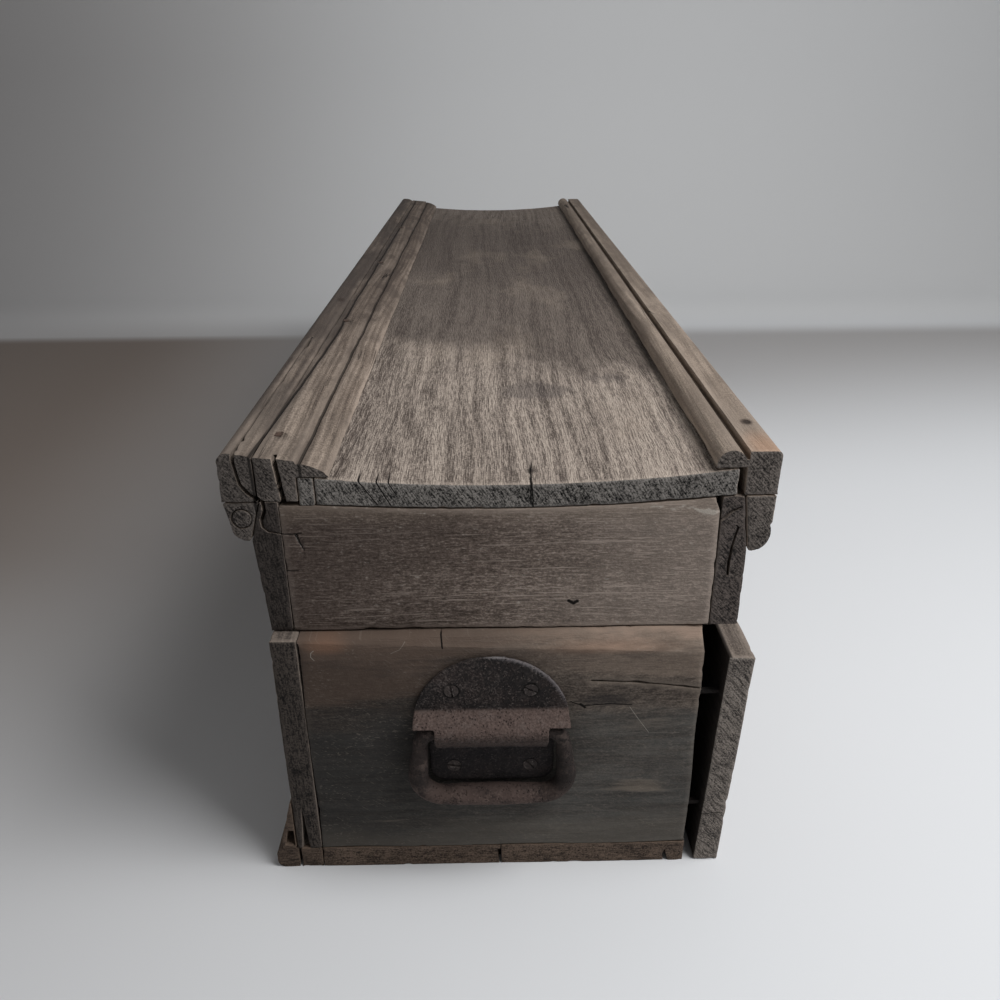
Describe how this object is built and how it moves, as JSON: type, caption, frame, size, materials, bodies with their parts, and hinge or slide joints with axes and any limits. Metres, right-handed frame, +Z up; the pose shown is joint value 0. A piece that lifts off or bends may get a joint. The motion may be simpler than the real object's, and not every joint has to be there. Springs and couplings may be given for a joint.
{
  "type": "wooden tool chest",
  "caption": "Long weathered wooden tool chest with a deep hinged lid, moulded top rails, a sprung side board, iron end handles with swinging bails and a box hook.",
  "frame": {"origin": "centre of the box on the floor, under the middle of the chest", "axes": "+Y along the length, away from the pictured end; +X towards the front side that has sprung; +Z up"},
  "size_m": [0.291, 1.139, 0.278],
  "materials": {
    "base_end_wood": "weathered, grey and worn bare",
    "base_side_wood": "weathered, grey and worn bare",
    "bottom_wood": "dry and rough",
    "sill_wood": "dry and rough",
    "lid_wood": "weathered, grey-brown",
    "panel_wood": "weathered open-pored board, stained",
    "rail_wood": "weathered, worn along its edges",
    "nail_iron": "rusted",
    "screw_iron": "rusted, worn bright on the heads",
    "hinge_iron": "rusted",
    "handle_iron": "rusted and pitted",
    "bail_iron": "rusted and pitted",
    "hook_iron": "rusted"
  },
  "bodies": {
    "base": {"base_end_near": "base_end_wood", "base_end_far": "base_end_wood", "base_side_left": "base_side_wood", "base_side_right": "base_side_wood", "bottom_board_left": "bottom_wood", "bottom_board_right": "bottom_wood", "sill_left": "sill_wood", "plinth_left": "sill_wood", "base_corner_nails": "nail_iron", "sprung_corner_nails": "nail_iron", "bottom_nails": "nail_iron", "hinge_screws_base": "screw_iron", "hook_catch": "screw_iron", "hinge_leaf_base_near": "hinge_iron", "hinge_pin_near": "hinge_iron", "handle_back_plate_near": "handle_iron", "handle_front_plate_near": "handle_iron", "handle_screws_near": "screw_iron", "hinge_leaf_base_far": "hinge_iron", "hinge_pin_far": "hinge_iron", "handle_back_plate_far": "handle_iron", "handle_front_plate_far": "handle_iron", "handle_screws_far": "screw_iron"},
    "lid": {"lid_end_near": "lid_wood", "lid_end_far": "lid_wood", "lid_side_left": "lid_wood", "lid_side_right": "lid_wood", "lid_panel": "panel_wood", "panel_filler": "panel_wood", "rail_left_outer": "rail_wood", "rail_left_inner": "rail_wood", "rail_right": "rail_wood", "cornice_left": "rail_wood", "cornice_right": "rail_wood", "lid_corner_nails": "nail_iron", "rail_nails": "nail_iron", "panel_nails": "nail_iron", "hinge_leaf_lid_near": "hinge_iron", "hinge_leaf_lid_far": "hinge_iron", "hinge_screws_lid": "screw_iron", "hook_screw": "screw_iron"},
    "bail_near": {"bail_near": "bail_iron"},
    "bail_far": {"bail_far": "bail_iron"},
    "hook": {"hook": "hook_iron"}
  },
  "joints": [
    {"name": "lid_hinge", "type": "hinge", "parent": "base", "child": "lid", "pos_m": [-0.1326, 0, 0.1702], "axis": [0, -1, 0], "range_deg": [0, 165]},
    {"name": "bail_near_swing", "type": "hinge", "parent": "base", "child": "bail_near", "pos_m": [-0.0066, -0.562, 0.1118], "axis": [-1, 0, 0], "range_deg": [0, 90]},
    {"name": "bail_far_swing", "type": "hinge", "parent": "base", "child": "bail_far", "pos_m": [0.0066, 0.562, 0.1118], "axis": [1, 0, 0], "range_deg": [0, 90]},
    {"name": "hook_swing", "type": "hinge", "parent": "lid", "child": "hook", "pos_m": [0.134, 0.33, 0.1884], "axis": [1, 0, 0], "range_deg": [-95, 26]}
  ]
}
